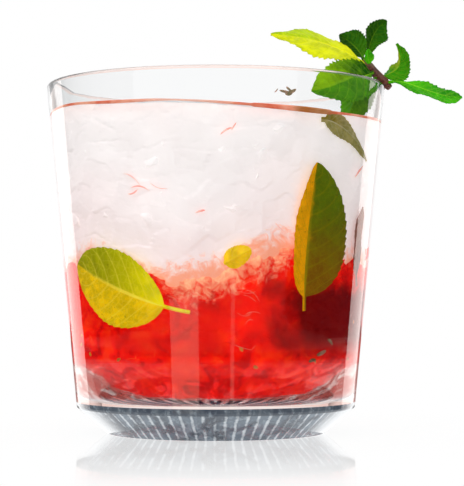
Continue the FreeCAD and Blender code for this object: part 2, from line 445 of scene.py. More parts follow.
def liquid():
    side = divided(bore_outline(0.12 * MM, LEVEL), 3 * MM)
    edge = side[-1][0]
    top = [Vector((edge * (1 - (k / 40) ** 1.6), LEVEL)) for k in range(1, 40)] + [Vector((0, LEVEL))]

    def shape(r, z, angle):
        if z < 60 * MM:
            return r, z
        wide = r if z >= LEVEL else edge
        rise = surface(wide * cos(angle), wide * sin(angle)) - LEVEL
        if z >= LEVEL:
            return r + (rise * 0.11 if r >= edge * 0.999 else 0), z + rise
        z += rise * (z - 60 * MM) / (20 * MM)
        return bore(z) + 0.12 * MM, z

    return lathe(side + top, 256, shape)


def liquid_look():
    look = Look("iced_drink")
    swirl = look.ramp(look.noise(12 * MM, 2), 0.4, 0.7)
    colour = look.blend(swirl, (1, 0.985, 0.98, 1), (1, 0.97, 0.965, 1))
    # The juice's coral, in swirls darkened by painted shade, low in the bowl.
    curl = look.ramp(look.noise(8 * MM, 3, 0.5, 1.6), 0.48, 0.6)
    juice_and_painted_shade = look.blend(curl, (0.62, 0.13, 0.1, 1), (0.95, 0.66, 0.6, 1))
    low_down = look.ramp(look.z, 0.027, 0.013) * look.ramp(look.z, 0.009, 0.0105)
    colour = look.blend(low_down, colour, juice_and_painted_shade)
    facts = {"IOR": 1.333, "Transmission Weight": 1.0, "Specular Tint": (0.15, 0.15, 0.15, 1)}
    facts["Normal"] = look.bump(swirl, 0.05 * MM, 0.3)
    return look.done(look.light_shadow(look.principled(colour, 0.0, **facts), (0.99, 0.98, 0.98, 1)))


piece("drink_liquid", liquid(), liquid_look(), ["drink"])


# ------------------------------------------------------------------------------------------------- crushed ice
# Packed crushed ice, milky white and tinged pink by the fruit below: a mass of flat-faced lumps that fills the
# drink down to the fruit, with loose splinters against the glass and over the top. It leaves room for the mint
# that lies on the wall.
WRAP = 38 * MM
LEAF_PLACES = [
    ((-14, 32), (-58, 41), 10.5),
    ((41, 38), (41, 63), 11),
    ((67, 40), (67, 56), 3),
    ((5, 43.8), (12, 46), 3),
    ((42, 78), (66, 71), 2.5),
    ((36, 31), (36, 38), 1.5),
]


def near_leaf(point):
    """1 where mint lies against the glass, falling to 0 over the next 9 mm."""
    here = Vector((atan2(point.x, -point.y) * WRAP, point.z))
    most = 0
    for first, last, reach in LEAF_PLACES:
        a, b = (Vector((radians(azimuth) * WRAP, z * MM)) for azimuth, z in (first, last))
        share = min(1, max(0, (here - a).dot(b - a) / (b - a).length_squared))
        distance = (here - a.lerp(b, share)).length
        most = max(most, min(1, 1 - (distance - reach * MM) / (9 * MM)))
    return most * most * (3 - 2 * most)


def facets(point, size):
    """Depth, about 0 to 1, of flat-faced lumps of this size with cracks between them."""
    distances, centres = noise.voronoi(point / size)
    tilt = noise.noise_vector(centres[0] * 3.7)
    crack = max(0, 1 - (distances[1] - distances[0]) / 0.14)
    return max(0, 0.45 + (point / size - centres[0]).dot(tilt) * 1.1 + 0.14 * crack)


def mark(bm, name, value):
    """Gives every vertex a number from a function of its place."""
    layer = bm.verts.layers.float.new(name)
    for v in bm.verts:
        v[layer] = value(v.co)


def above_fruit(point):
    """Height over the fruit's edge at the wall, in millimetres."""
    r = max(hypot(point.x, point.y), 1e-6)
    return (point.z - at_wall(fruit_top, point.x / r, point.y / r)) / MM


def filling(low, high, gap, turns, rings):
    """A body that fills the bore between two uneven surfaces, less the gap at each point."""
    bm = bmesh.new()
    grid = []
    for j in range(rings + 1):
        s = j / rings
        ring = []
        for k in range(turns):
            angle = 2 * pi * k / turns
            x, y = cos(angle), sin(angle)
            if s < 0.1 or s > 0.9:
                level = low if s < 0.1 else high
                share = (s / 0.1) if s < 0.1 else (1 - s) / 0.1
                edge = bore(at_wall(level, x, y)) * 0.96
                r = edge * share**0.8
                z = level(x * r, y * r)
                p = Vector((x * r, y * r, z))
                p.z += gap(p) * (1 if s < 0.1 else -1)
            else:
                share = (s - 0.1) / 0.8
                bottom, top = at_wall(low, x, y), at_wall(high, x, y)
                z = bottom + (top - bottom) * share
                p = Vector((x * bore(z), y * bore(z), z))
                round_off = 1.2 * MM * (abs(2 * share - 1) ** 12)
                p = Vector((x, y, 0)) * (bore(z) - gap(p) - round_off) + Vector((0, 0, z))
            ring.append(bm.verts.new(p))
        grid.append(ring)
    join(bm, grid)
    bmesh.ops.remove_doubles(bm, verts=grid[0] + grid[-1], dist=0.02 * MM)
    return bm


def ice_gap(p):
    soft = noise.noise(p / (9 * MM)) * 0.5 + 0.5
    lumps = 0.7 * facets(p, 7 * MM) + 0.28 * facets(p + Vector((0.05, 0, 0)), 2.8 * MM)
    return (0.35 + 0.7 * soft + lumps + 1.3 * near_leaf(p)) * MM


def ice_mass():
    def low(x, y):
        return fruit_top(x, y) - 4 * MM

    def high(x, y):
        return drink_level(x, y) - 0.5 * MM

    bm = filling(low, high, ice_gap, 400, 200)
    mark(bm, "above", above_fruit)
    return bm


def shard(bm, centre, size, rng):
    """An irregular splinter: the hull of a few points about its centre."""
    turn = Matrix.Rotation(rng.uniform(0, pi), 3, Vector((rng.gauss(0, 1), rng.gauss(0, 1), rng.gauss(0, 1))))
    stretch = Vector((rng.uniform(0.7, 1.3), rng.uniform(0.5, 1), rng.uniform(0.5, 1)))
    points = []
    for _ in range(14):
        way = Vector((rng.gauss(0, 1), rng.gauss(0, 1), rng.gauss(0, 1))).normalized()
        point = Vector(a * b for a, b in zip(way, stretch)) * size
        points.append(bm.verts.new(centre + turn @ point))
    made = bmesh.ops.convex_hull(bm, input=points)
    spare = [e for e in made["geom_interior"] + made["geom_unused"] if isinstance(e, bmesh.types.BMVert)]
    bmesh.ops.delete(bm, geom=list(set(spare)), context="VERTS")


def ice_splinters():
    rng = random.Random(11)
    bm = bmesh.new()
    for _ in range(300):
        angle = rng.uniform(0, 2 * pi)
        x, y = cos(angle), sin(angle)
        low, high = at_wall(fruit_top, x, y), at_wall(drink_level, x, y)
        z = rng.uniform(low - 1 * MM, high - 3.5 * MM)
        size = rng.uniform(1.4, 4.0) * MM
        r = bore(z) - size * 0.85 - rng.uniform(0.5, 1.6) * MM
        centre = Vector((x * r, y * r, z))
        if near_leaf(centre) < 0.35:
            shard(bm, centre, size, rng)
    for _ in range(170):
        angle, r = rng.uniform(0, 2 * pi), 31 * MM * rng.random() ** 0.5
        x, y = r * cos(angle), r * sin(angle)
        size = rng.uniform(2.2, 5.0) * MM
        z = drink_level(x, y) - size * 0.75 + rng.uniform(0, 1.0) * MM
        shard(bm, Vector((x, y, z)), size, rng)
    soft = {"offset": 0.25 * MM, "segments": 2, "profile": 0.5, "affect": "EDGES", "clamp_overlap": True}
    bmesh.ops.bevel(bm, geom=bm.edges[:], **soft)
    inside_glass(bm, 0.3 * MM)
    mark(bm, "above", above_fruit)
    return bm


def inside_glass(bm, gap):
    """Presses every vertex back to at least this gap from the wall."""
    for v in bm.verts:
        limit = bore(v.co.z) - gap
        r = hypot(v.co.x, v.co.y)
        if r > limit:
            v.co.x, v.co.y = v.co.x * limit / r, v.co.y * limit / r


def mush(look):
    """1 at the front, where ice and fruit have mixed the most, falling to 0 round the sides."""
    return look.ramp(look.x, -0.018, -0.006) * look.ramp(look.x, 0.026, 0.014)


def ice_look(name, painted_light_lift):
    look = Look(name)
    above = look.own("above")
    pink = look.ramp(above + look.noise(14 * MM, 3) * 14, 34, 6) * 0.4
    blush = look.ramp(above + look.noise(3.4 * MM, 6, 0.68, 1.4) * 14 + (1 - mush(look)) * 3, 11.8, 6.0)
    white = look.blend(look.ramp(look.noise(7 * MM, 4), 0.3, 0.7), rgb(252, 247, 246), rgb(244, 238, 237))
    # Painted light: a whiter copy of the ice, for the splinters.
    white = look.blend(painted_light_lift, white, rgb(255, 252, 251))
    colour = look.blend(pink, white, rgb(255, 222, 220))
    colour = look.blend(blush * 0.9, colour, rgb(252, 158, 118))
    # Painted shade: faces near the top that look up turn a cool grey and glow less. The glow over all the ice
    # is painted light.
    facing = look.node("ShaderNodeSeparateXYZ", 2, {0: look.node("ShaderNodeNewGeometry", "Normal", {})})
    up = look.ramp(facing, 0.35, 0.85) * look.ramp(look.z, 0.066, 0.072)
    cloud = look.ramp(look.noise(3 * MM, 4, 0.6), 0.35, 0.65)
    painted_top_shade = look.blend(cloud, rgb(226, 235, 239), rgb(248, 250, 251))
    colour = look.blend(up * 0.9, colour, painted_top_shade)
    scratches = look.cells(1.9 * MM, "DISTANCE_TO_EDGE")
    crystals = look.ramp(scratches, 0.0, 0.08) * 0.3 + look.noise(0.9 * MM, 4) * 0.5
    facts = {"Normal": look.bump(crystals, 0.12 * MM, 0.28), "Specular IOR Level": 0.25}
    facts |= {"Emission Color": look.blend(up * 0.5, colour, (0, 0, 0, 1)), "Emission Strength": 0.43}
    return look.done(look.principled(colour, 0.35, **facts))


piece("crushed_ice", ice_mass(), ice_look("packed_ice", 0.0))
# The splinters take a whiter copy of the ice: painted light.
piece("ice_splinters", ice_splinters(), ice_look("splinter_ice", 0.35))


# ----------------------------------------------------------------------------------------------- muddled fruit
# Strawberries crushed with a muddler: wet scarlet pulp in tones from deep red to orange, with orange flecks of
# painted highlight, painted shade where it lies back from the glass and in a maroon patch at the front right by
# the sunk leaf, paler where it meets the ice, and a faint glow of painted light, with pale fibres from the
# cores, and the seeds.
def pulp_gap(p):
    coarse = noise.noise(p / (6 * MM)) + 0.5
    torn = abs(noise.noise(p / (2.6 * MM) + Vector((9, 0, 0)))) * 1.1
    fine = noise.noise(p / (0.9 * MM)) * 0.3
    return max(0.3, 0.55 + 1.0 * coarse + torn + fine + 1.6 * near_leaf(p)) * MM


def pulp_mass():
    """Rings over the floor, up the side and in over the top, each pressed in by the gap."""
    split = 27 * MM
    floor = [p for p in divided(bore_outline(0, 40 * MM), 0.9 * MM) if p[1] < split]
    turns, side, top = 400, 64, 24
    bm = bmesh.new()
    rings = [[bm.verts.new((0, 0, FLOOR + 0.5 * MM))]]
    ways = [Vector((cos(2 * pi * k / turns), sin(2 * pi * k / turns), 0)) for k in range(turns)]
    for r, z in floor[1:]:
        ring = []
        for way in ways:
            p = way * r + Vector((0, 0, z))
            gap = pulp_gap(p)
            up = Vector((0, 0, max(z + 0.15 * gap, FLOOR + 0.4 * MM)))
            ring.append(bm.verts.new(way * max(0.3 * r, r - gap) + up))
        rings.append(ring)
    for j in range(1, side + 1):
        ring = []
        for way in ways:
            z = split + (at_wall(fruit_top, way.x, way.y) - split) * j / side
            p = way * bore(z) + Vector((0, 0, z))
            round_off = 2.0 * MM * max(0, j / side - 0.85) ** 2 / 0.0225
            ring.append(bm.verts.new(p - way * (pulp_gap(p) + round_off)))
        rings.append(ring)
    for j in range(1, top):
        ring = []
        for way in ways:
            p = way * 32 * MM * (1 - j / top)
            p.z = fruit_top(p.x, p.y)
            ring.append(bm.verts.new(p + Vector((0, 0, 0.6 * MM - pulp_gap(p) * 0.8))))
        rings.append(ring)
    rings.append([bm.verts.new((0, 0, fruit_top(0, 0)))])
    join(bm, rings)
    mark(bm, "above", above_fruit)
    # The depth behind the glass, which the pulp's painted shade follows.
    mark(bm, "recess_shade", lambda p: (bore(p.z) - hypot(p.x, p.y)) / (2.5 * MM) if p.z > BOWL_TOP else 0.4)
    return bm


def blob(bm, layer, centre, size, rng, tint, detail=3, rough=0.6):
    """A torn lump of flesh: a stretched ball with a noisy skin, marked with its tint."""
    turn = Matrix.Rotation(rng.uniform(0, pi), 4, Vector((rng.gauss(0, 1), rng.gauss(0, 1), rng.gauss(0, 1))))
    stretch = Matrix.Diagonal(Vector((rng.uniform(0.8, 1.5), rng.uniform(0.4, 0.8), rng.uniform(0.5, 1), 1)))
    made = bmesh.ops.create_icosphere(bm, subdivisions=detail, radius=1)["verts"]
    seed = Vector((rng.uniform(0, 50), rng.uniform(0, 50), rng.uniform(0, 50)))
    for v in made:
        way = v.co.normalized()
        swell = 1 + rough * (noise.noise(way * 1.9 + seed) + 0.6 * noise.noise(way * 4.6 + seed))
        v.co = centre + (turn @ stretch @ (way * swell)) * size
        v[layer] = tint


def pulp_pieces():
    rng = random.Random(5)
    bm = bmesh.new()
    layer = bm.verts.layers.float.new("tint")
    for _ in range(240):
        angle = rng.uniform(0, 2 * pi)
        x, y = cos(angle), sin(angle)
        high = fruit_top(x * 0.034, y * 0.034)
        z = rng.choice((rng.uniform(22 * MM, high), rng.uniform(high - 6 * MM, high + 1.2 * MM)))
        size = rng.uniform(0.9, 2.8) * MM
        r = bore(z) - size * rng.uniform(0.7, 1.0) - 0.5 * MM
        centre = Vector((x * r, y * r, z))
        if near_leaf(centre) < 0.35:
            blob(bm, layer, centre, size, rng, rng.random())
    inside_glass(bm, 0.25 * MM)
    mark(bm, "above", above_fruit)
    return bm


def pulp_look(name, lumps):
    look = Look(name)
    above = look.own("above")
    drift = look.noise(6 * MM, 6, 0.62, 0.8)
    tint = look.own("tint") * 0.5 + drift * 0.5 if lumps else drift
    colour = look.blend(look.ramp(tint, 0.36, 0.5), rgb(204, 4, 0), rgb(242, 18, 0))
    colour = look.blend(look.ramp(tint, 0.5, 0.62) * 0.85, colour, rgb(255, 50, 4))
    # Painted highlight: orange flecks stand in for glints on the wet pulp.
    painted_highlight_flecks = look.ramp(look.noise(2.2 * MM, 6, 0.7, 1.2), 0.58, 0.7)
    colour = look.blend(painted_highlight_flecks * 0.55, colour, rgb(255, 92, 40))
    # Darker red patches at random.
    darker_patches = look.ramp(look.noise(1.5 * MM, 5, 0.7, 0.8), 0.42, 0.3)
    colour = look.blend(darker_patches * 0.5, colour, rgb(140, 0, 0))
    if not lumps:
        # Painted shade: darker where the pulp lies further back from the glass.
        colour = look.blend(look.ramp(look.own("recess_shade"), 0.5, 1.2) * 0.4, colour, rgb(150, 0, 0))
    # Painted shade: a maroon patch at the front right, by the sunk leaf.
    right = look.ramp(look.x + look.noise(7 * MM, 5, 0.65) * 0.02, 0.019, 0.032)
    band = look.ramp(look.z + look.noise(6 * MM, 3) * 0.01, 0.047, 0.04) * look.ramp(look.z, 0.016, 0.026)
    front = look.ramp(look.y, 0.0, -0.006)
    colour = look.blend(right * band * front * 0.92, colour, rgb(84, 3, 2))
    rise = look.ramp(above + look.noise(3.4 * MM, 6, 0.68, 1.2) * 24 - (1 - mush(look)) * 6, 3.2, 13.5)
    colour = look.blend(rise * (0.35 if lumps else 0.85), colour, rgb(255, 194, 148))
    wet = look.bump(look.noise(1.1 * MM, 5, 0.65) + look.cells(1.5 * MM) * 0.4, 0.2 * MM, 0.7)
    # The pulp glows a little: painted light.
    facts = {"Normal": wet, "Specular IOR Level": 0.03, "Emission Color": colour, "Emission Strength": 0.65}
    return look.done(look.principled(colour, 0.22, **facts))


piece("muddled_pulp", pulp_mass(), pulp_look("scarlet_pulp", False), ["muddled_fruit"])
piece("pulp_pieces", pulp_pieces(), pulp_look("torn_flesh", True))


def wall_point(azimuth, z, depth):
    """A point this deep behind the bore. Azimuth 0 is the front, and it grows to the right, in degrees."""
    angle = radians(azimuth)
    r = bore(z) - depth
    return Vector((r * sin(angle), -r * cos(angle), z))


def tube(bm, points, radius, sides=8, ends=0.5):
    """A round strand through these points, whose radius falls to a share of itself at both ends."""
    rings = []
    count = len(points)
    side = Vector((0.31, 0.17, 0.93))
    for i, point in enumerate(points):
        along = (points[min(i + 1, count - 1)] - points[max(i - 1, 0)]).normalized()
        side = (side - along * side.dot(along)).normalized()
        other = along.cross(side)
        share = ends + (1 - ends) * sin(pi * i / (count - 1)) ** 0.5
        angles = [2 * pi * k / sides for k in range(sides)]
        rings.append([bm.verts.new(point + (side * cos(a) + other * sin(a)) * radius * share) for a in angles])
    join(bm, rings)
    bm.faces.new(rings[0][::-1])
    bm.faces.new(rings[-1])
    return [v for ring in rings for v in ring]


def fibres():
    rng = random.Random(8)
    bm = bmesh.new()
    for _ in range(90):
        azimuth, z = rng.gauss(9, 11), rng.gauss(36.5, 4.4) * MM
        if rng.random() < 0.45:
            azimuth = rng.uniform(-180, 180)
        lean, length = rng.uniform(-0.6, 1.2), rng.uniform(1.5, 5) * MM
        bend = rng.uniform(-1.0, 1.0) * MM
        deep = rng.uniform(0.4, 1.2) * MM
        if near_leaf(wall_point(azimuth, z, deep)) > 0.35:
            continue
        points = []
        for k in range(9):
            s = k / 8 - 0.5
            across, up = s * length * cos(lean), s * length * sin(lean) + bend * (1 - 4 * s * s)
            points.append(wall_point(azimuth + across / (0.65 * MM), z + up, deep + 0.3 * MM * s))
        tube(bm, points, rng.uniform(0.05, 0.12) * MM, 6, 0.25)
    return bm


def fibre_look():
    look = Look("pale_fibre")
    colour = look.blend(look.ramp(look.noise(2 * MM, 3), 0.35, 0.65), rgb(255, 150, 124), rgb(246, 70, 36))
    return look.done(look.principled(colour, 0.35, Normal=look.bump(look.noise(0.5 * MM), 0.05 * MM)))


def seeds():
    rng = random.Random(3)
    bm = bmesh.new()
    for _ in range(90):
        azimuth, z = rng.uniform(-180, 180), rng.uniform(18, 42) * MM
        centre = wall_point(azimuth, z, rng.uniform(0.5, 0.9) * MM)
        if near_leaf(centre) > 0.35:
            continue
        lay = Matrix.Rotation(radians(azimuth), 4, "Z") @ Matrix.Rotation(rng.uniform(0, pi), 4, "Y")
        shape = Matrix.Diagonal(Vector((0.42 * MM, 0.22 * MM, 0.65 * MM, 1)))
        matrix = Matrix.Translation(centre) @ lay @ shape
        made = bmesh.ops.create_icosphere(bm, subdivisions=2, radius=1)["verts"]
        for v in made:
            v.co.x *= 1 - 0.35 * v.co.z
            v.co = matrix @ v.co
    return bm


def seed_look():
    look = Look("berry_seed")
    colour = look.blend(look.ramp(look.noise(4 * MM, 2), 0.4, 0.6), rgb(255, 190, 50), rgb(236, 120, 20))
    return look.done(look.principled(colour, 0.3, Normal=look.bump(look.noise(0.3 * MM), 0.03 * MM)))


piece("core_fibres", fibres(), fibre_look())
piece("berry_seeds", seeds(), seed_look())


# ------------------------------------------------------------------------------------------------- mint leaves
# Spearmint leaves: soft, puckered between the side veins, with forward-pointing teeth. Each one is a thin
# closed sheet about its midrib. The sprig's leaves grow out of a square brown stem that rests on the rim.
def curve(points, s):
    """A point on the Bezier curve with these control points."""
    points = list(points)
    while len(points) > 1:
        points = [a.lerp(b, s) for a, b in zip(points, points[1:])]
    return points[0]


def leaf(
    midrib, side, widths, fullest, fold, cup, stalk=0.1, veins=8, blunt=0.75, warp=None, rows=120, teeth=0.13
):
    """A leaf as a bmesh with UVs: u runs from base to tip, v from 0 at one edge to 1 at the other."""
    bm = bmesh.new()
    uv = bm.loops.layers.uv.new("leaf")
    columns = 24
    evenly = [2 * k / columns - 1 for k in range(columns + 1)]
    places = [sin(pi / 2 * t) * 0.35 + t * 0.65 for t in evenly]
    thickness = 0.32 * MM
    power = log(0.5) / log(fullest)
    sheets = []

    def reach_at(s, t):
        q = max(0, (s - stalk) / (1 - stalk))
        oval = sin(pi * min(q, 1) ** power) ** blunt if 0 < q < 1 else 0
        tooth = ((q * veins * 2.1 - 0.15) % 1) if q > 0.05 else 0.5
        edge = max(0, abs(t) - 0.8) / 0.2
        blade = widths[0 if t > 0 else 1] * oval * (1 + teeth * edge * (tooth - 0.5))
        return max(blade, (0.45 if q <= 0 else 0.3) * MM) * abs(t)

    def point(s, t, painted_light_lift):
        step = 0.004
        here = curve(midrib, s)
        along = (curve(midrib, min(1, s + step)) - curve(midrib, max(0, s - step))).normalized()
        across = (side - along * side.dot(along)).normalized()
        up = across.cross(along)
        reach = reach_at(s, t)
        share = abs(t)
        q = max(0, (s - stalk) / (1 - stalk))
        phase = q * veins - 1.7 * share**1.4
        blade = min(1, 8 * q) * min(1, reach / (1 * MM))
        pucker = (abs(sin(pi * phase)) ** 0.6 - 0.5) * 0.42 * MM * blade * (1 - 0.4 * share)
        groove = -0.35 * MM * exp(-((t * 9) ** 2)) * min(1, 6 * q)
        wave = 0.45 * MM * sin(pi * phase * 0.5 + (2 if t > 0 else 0)) * share**3 * blade
        rise = reach * sin(radians(fold)) + cup * reach * share + pucker + groove + wave
        flat = reach * cos(radians(fold)) * (1 if t > 0 else -1)
        round_edge = 1 if share < 0.92 else 0.35
        spot = here + across * flat + up * (rise + painted_light_lift * thickness / 2 * round_edge * (1.6 if q <= 0 else 1))
        return warp(spot) if warp else spot

    for painted_light_lift in (1, -1):
        grid = []
        for i in range(rows + 1):
            s = i / rows
            grid.append([(bm.verts.new(point(s, t, painted_light_lift)), (s, t / 2 + 0.5)) for t in places])
        sheets.append(grid)

    def face(*corners):
        made = bm.faces.new([c[0] for c in corners])
        for loop, corner in zip(made.loops, corners):
            loop[uv].uv = corner[1]

    top, under = sheets
    for i in range(rows):
        for k in range(columns):
            face(top[i][k], top[i + 1][k], top[i + 1][k + 1], top[i][k + 1])
            face(under[i][k], under[i][k + 1], under[i + 1][k + 1], under[i + 1][k])
        face(top[i][0], under[i][0], under[i + 1][0], top[i + 1][0])
        face(top[i][-1], top[i + 1][-1], under[i + 1][-1], under[i][-1])
    for k in range(columns):
        face(top[0][k], top[0][k + 1], under[0][k + 1], under[0][k])
        face(top[-1][k], under[-1][k], under[-1][k + 1], top[-1][k + 1])
    return bm


def leaf_look(name, tip, base, other, vein, shine, gloss, glow, spots=0.0, mottled=0.7):
    """A leaf from its colours at the tip, at the base, on the other half and in the veins."""
    look = Look(name)
    place = look.node("ShaderNodeUVMap", 0, {}, uv_map="leaf")
    u, v = (look.node("ShaderNodeSeparateXYZ", i, {0: place}) for i in range(2))
    aside = (v * 2 - 1).of("ABSOLUTE")
    q = (u - 0.1) / 0.9
    phase = q * 8 - (aside**1.4) * 1.7
    side_vein = 1 - look.ramp((phase * pi).of("SINE").of("ABSOLUTE"), 0.04, 0.3)
    net = 1 - look.ramp(look.cells(1.7 * MM, "DISTANCE_TO_EDGE"), 0.0, 0.12)
    midrib = 1 - look.ramp(aside, 0.02, 0.07)
    mottle = look.noise(3.2 * MM, 5, 0.6, 0.4)
    colour = look.blend(look.ramp(u + (mottle - 0.5) * 0.5, 0.2, 0.8), rgb(*base), rgb(*tip))
    colour = look.blend(look.ramp(v + (mottle - 0.5) * 0.15, 0.47, 0.53), rgb(*other), colour)
    dark = look.blend(0.75, colour, (0.42, 0.5, 0.3, 1), blend_type="MULTIPLY")
    colour = look.blend(look.ramp(mottle, 0.62, 0.38) * mottled, colour, dark)
    colour = look.blend(side_vein * 0.26, colour, rgb(*vein))
    colour = look.blend(net * 0.14, colour, rgb(*vein))
    colour = look.blend(midrib * look.ramp(u, 1.1, 0.2) * 0.9, colour, rgb(*vein))
    colour = look.blend(look.ramp(look.noise(1.3 * MM, 3), 0.66, 0.74) * spots, colour, rgb(60, 40, 5))
    grain = look.noise(0.45 * MM, 3) * 0.5 + look.cells(0.9 * MM) * 0.5
    normal = look.bump(grain - side_vein * 0.5 - net * 0.4, 0.14 * MM, 0.7)
    facts = {"Normal": normal, "Specular IOR Level": gloss, "Emission Color": colour, "Emission Strength": glow}
    skin = look.principled(colour, shine, **facts)
    lit = look.node("ShaderNodeBsdfTranslucent", 0, {0: rgb(*base), "Normal": normal})
    return look.done(look.mixed(0.22, skin, lit))


RIM_BEAD = 0.85 * MM
STEM_RADIUS = 1.15 * MM
STEM_STAND = (RIM_BEAD + STEM_RADIUS + 0.05 * MM) * sin(radians(45))


def by_rim(out, across, up):
    """A point outwards, sideways and upwards from where the stem crosses the rim, in millimetres."""
    stand = STEM_STAND - RIM_BEAD
    return Vector((RIM + stand + out * MM, across * MM, HEIGHT + stand + up * MM))


def on_stem(along):
    """A point on the stem's axis, in millimetres inwards and up from the rim."""
    return by_rim(-along * cos(radians(45)), 0, along * sin(radians(45)))


def midrib_from(along, *points):
    """A midrib that grows out of the stem."""
    return [on_stem(along).lerp(by_rim(*points[0]), 0.12)] + [by_rim(*p) for p in points]


def sprig():
    dry = {"shine": 0.5, "gloss": 0.1, "glow": 0.2}
    freckled = dry | {"spots": 0.15}
    dull = dry | {"glow": 0.12}
    lit = dry | {"glow": 0.25}
    yellow = leaf_look("pale_mint", (176, 204, 0), (236, 236, 0), (222, 228, 0), (244, 242, 24), **freckled)
    bottle = leaf_look("bottle_mint", (34, 100, 0), (64, 130, 0), (30, 84, 0), (110, 160, 20), **dull)
    leafy = leaf_look("green_mint", (40, 150, 4), (90, 206, 2), (62, 176, 2), (160, 226, 50), **dry)
    bright = leaf_look("bright_mint", (142, 194, 2), (24, 92, 0), (74, 146, 0), (140, 196, 30), **dry)
    olive = leaf_look("olive_mint", (176, 186, 4), (44, 150, 2), (60, 150, 2), (150, 190, 30), **dry)
    deep = leaf_look("deep_mint", (96, 150, 0), (50, 130, 0), (86, 160, 4), (130, 180, 30), **lit)
    pale = midrib_from(6.8, (-11.1, -3, 9.0), (-19, -4.5, 12.2), (-30.4, -5, 12.5))
    dark = midrib_from(8.2, (-6.6, 4.4, 9.9), (-9, 6, 12.2), (-12, 6, 14))
    top = midrib_from(7.4, (-4.4, 1, 9.5), (-4.4, 2, 13.8), (0.2, 2, 17.2))
    bud = midrib_from(6.0, (-5.1, -2, 6.6), (-5.1, -2.2, 7.8), (-4.8, -2, 9.0))
    curled = midrib_from(2.8, (2.4, 1.5, 3), (5.8, 1.5, 4.8), (2.8, 0.5, 10.9))
    long = midrib_from(0.4, (4.4, -2, 1.6), (13.4, -3, -5), (19.3, -3, -3.7))
    broad = midrib_from(4.8, (-5.8, -8, 1.2), (-13.4, -12, -1.8), (-20.4, -13, -3.4))
    dipping = midrib_from(3.0, (-5.8, -2.4, 0.4), (-9, -5, -4), (-11.4, -7.5, -12.5))
    rows = [
        ("pale", pale, (0, 0.86, 0.5), 8.3, 0.5, -4, -0.05, yellow),
        ("dark", dark, (0.75, 0.3, 0.6), 3.9, 0.5, 12, 0.1, bottle),
        ("top", top, (0.8, 0.5, -0.3), 3.5, 0.68, 14, 0.1, bottle),
        ("curled", curled, (-0.5, 0.6, 0.6), 3.3, 0.38, 14, 0.1, olive),
        ("long", long, (0, 0.8, 0.6), 4.0, 0.62, -6, -0.05, leafy),
        ("broad", broad, (-0.15, 0.3, 0.94), 6.0, 0.5, 8, 0.06, bright),
        ("dipping", dipping, (0.9, -0.25, 0.3), 4.5, 0.5, 10, 0.06, deep),
    ]
    for name, midrib, side, half, fullest, fold, cup, look in rows:
        bm = leaf(midrib, Vector(side), (half * MM, half * MM), fullest, fold, cup)
        piece(f"sprig_leaf_{name}", bm, look, [f"mint_leaf_{name}"])
    bm = leaf(bud, Vector((0.95, 0.3, 0)), (1.4 * MM, 1.4 * MM), 0.5, 20, 0.1, veins=4, rows=40)
    piece("sprig_bud", bm, leafy, ["mint_bud"])


def stem():
    bm = bmesh.new()
    low, high = on_stem(-1.3), on_stem(8.9)
    count = 60
    points = [low.lerp(high, k / count) + Vector((0, 0.12 * MM * sin(k * 0.25), 0)) for k in range(count + 1)]
    tube(bm, points, STEM_RADIUS, 40, 0.6)
    axis = (high - low).normalized()
    for v in bm.verts:
        along = (v.co - low).dot(axis)
        centre = low + axis * along
        out = v.co - centre
        knot = 0.18 * exp(-(((along - 2.2 * MM) / (0.7 * MM)) ** 2))
        knot += 0.2 * exp(-(((along - 8 * MM) / (1 * MM)) ** 2))
        square = 0.06 * cos(4 * atan2(out.y, out.dot(Vector((0.7, 0, 0.7)))))
        v.co = centre + out * (1 + knot + square)
    return bm


def stem_look():
    look = Look("mint_stem")
    streak = look.noise(MM / 0.9, 4.0, 0.5, 1.5)
    colour = look.blend(look.ramp(streak, 0.35, 0.65), rgb(62, 22, 14), rgb(110, 54, 34))
    colour = look.blend(look.ramp(look.z, 0.0945, 0.098), colour, rgb(120, 110, 20))
    return look.done(look.principled(colour, 0.4, Normal=look.bump(streak, 0.1 * MM)))


sprig()
piece("sprig_stem", stem(), stem_look(), ["mint_stem"])


# ------------------------------------------------------------------------------------------- mint in the drink
# Loose leaves that lie against the inside of the glass, so each is built flat and then wrapped on the wall: x
# is the distance round the bore, z the height, and y the depth behind the glass.
def wrapped(p):
    return wall_point(p.x / WRAP * 180 / pi, p.z, max(0.28 * MM, p.y))


def flat(azimuth, z, depth):
    """A point for a leaf that will be wrapped: azimuth in degrees, the rest in millimetres."""
    return Vector((radians(azimuth) * WRAP, depth * MM, z * MM))


